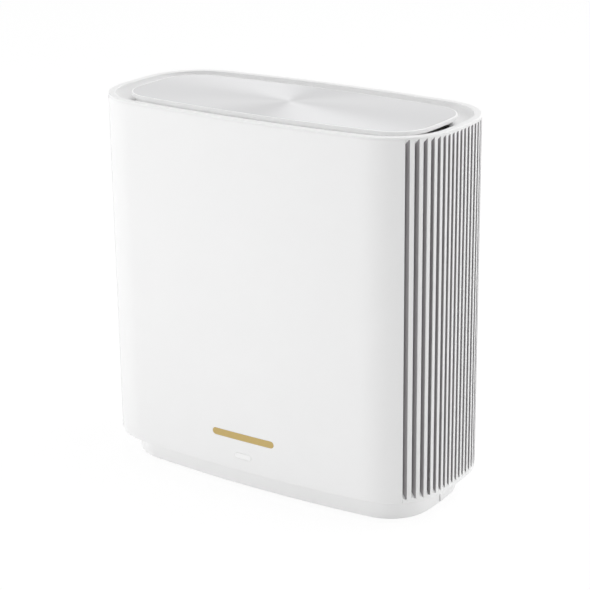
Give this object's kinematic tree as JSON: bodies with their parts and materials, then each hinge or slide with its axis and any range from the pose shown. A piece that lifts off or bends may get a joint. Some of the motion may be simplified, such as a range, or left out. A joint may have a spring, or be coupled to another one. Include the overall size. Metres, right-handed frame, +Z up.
{
  "type": "wireless router",
  "caption": "Upright white table-top wireless router: bowed housing on a set-back plinth, ribbed vented ends, dished top with a floating spun lid, rear socket recess and push buttons.",
  "frame": {"origin": "on the table, under the middle of the four feet", "axes": "+Z up, +Y from the front face to the rear sockets, +X to the right end as seen from the front"},
  "size_m": [0.16, 0.075, 0.1615],
  "materials": {
    "antenna_brass": "stamped",
    "badge_gold": "satin gold",
    "black_plastic": "moulded",
    "blue_plastic": "moulded",
    "button_plastic": "satin",
    "chip_plastic": "moulded",
    "circuit_board": "solder mask",
    "contact_gold": "gold flash",
    "foot_rubber": "matt",
    "frame_plastic": "moulded, matt",
    "lead_jacket": "extruded",
    "led_plastic": "moulded",
    "light_guide": "milky diffuser",
    "panel_plastic": "moulded",
    "plated_pin": "nickel plated",
    "ring_plastic": "smooth satin",
    "screw_steel": "zinc plated",
    "shell_plastic": "fine satin, matt white",
    "sink_aluminium": "extruded",
    "spun_lid": "circular brushed under clear lacquer",
    "thermal_pad": "soft, matt",
    "tinned_steel": "tinned"
  },
  "bodies": {
    "housing": {"front_cover": "shell_plastic", "rear_cover": "shell_plastic", "left_grille": "shell_plastic", "right_grille": "shell_plastic", "top_ring": "ring_plastic", "lid_carrier": "ring_plastic", "lid": "spun_lid", "base_cover": "shell_plastic", "rubber_feet": "foot_rubber", "front_badge": "badge_gold", "light_pipe": "light_guide", "led_board": "circuit_board", "status_leds": "led_plastic", "inner_frame": "frame_plastic", "main_board": "circuit_board", "processor": "chip_plastic", "memory_chips": "chip_plastic", "radio_chips": "chip_plastic", "shield_cans": "tinned_steel", "thermal_pads": "thermal_pad", "front_heat_sink": "sink_aluminium", "rear_heat_spreader": "sink_aluminium", "socket_panel": "panel_plastic", "wan_socket": "blue_plastic", "wan_contacts": "contact_gold", "lan_sockets": "black_plastic", "lan_contacts": "contact_gold", "usb_shell": "tinned_steel", "usb_tongue": "blue_plastic", "power_jack": "black_plastic", "jack_pin": "plated_pin", "power_switch": "black_plastic", "button_board": "circuit_board", "pair_switch": "black_plastic", "reset_switch": "black_plastic", "left_end_antenna": "antenna_brass", "right_end_antenna": "antenna_brass", "front_left_antenna": "antenna_brass", "front_right_antenna": "antenna_brass", "rear_left_antenna": "antenna_brass", "rear_right_antenna": "antenna_brass", "antenna_sockets": "contact_gold", "antenna_leads": "lead_jacket", "signal_leads": "lead_jacket", "capacitors": "sink_aluminium", "inductors": "chip_plastic", "board_screws": "screw_steel", "heat_sink_screws": "screw_steel", "base_screws": "screw_steel", "button_board_screws": "screw_steel"},
    "power_button": {"power_button": "button_plastic", "power_plunger": "black_plastic"},
    "pair_button": {"pair_button": "button_plastic"},
    "reset_button": {"reset_button": "button_plastic"}
  },
  "joints": [
    {"name": "power_press", "type": "slide", "parent": "housing", "child": "power_button", "axis": [0, -1, 0], "range_m": [0, 0.0018], "stiffness_N_per_m": 900},
    {"name": "pair_press", "type": "slide", "parent": "housing", "child": "pair_button", "axis": [0, 0, 1], "range_m": [0, 0.0008], "stiffness_N_per_m": 900},
    {"name": "reset_press", "type": "slide", "parent": "housing", "child": "reset_button", "axis": [0, 0, 1], "range_m": [0, 0.0005], "stiffness_N_per_m": 900}
  ]
}
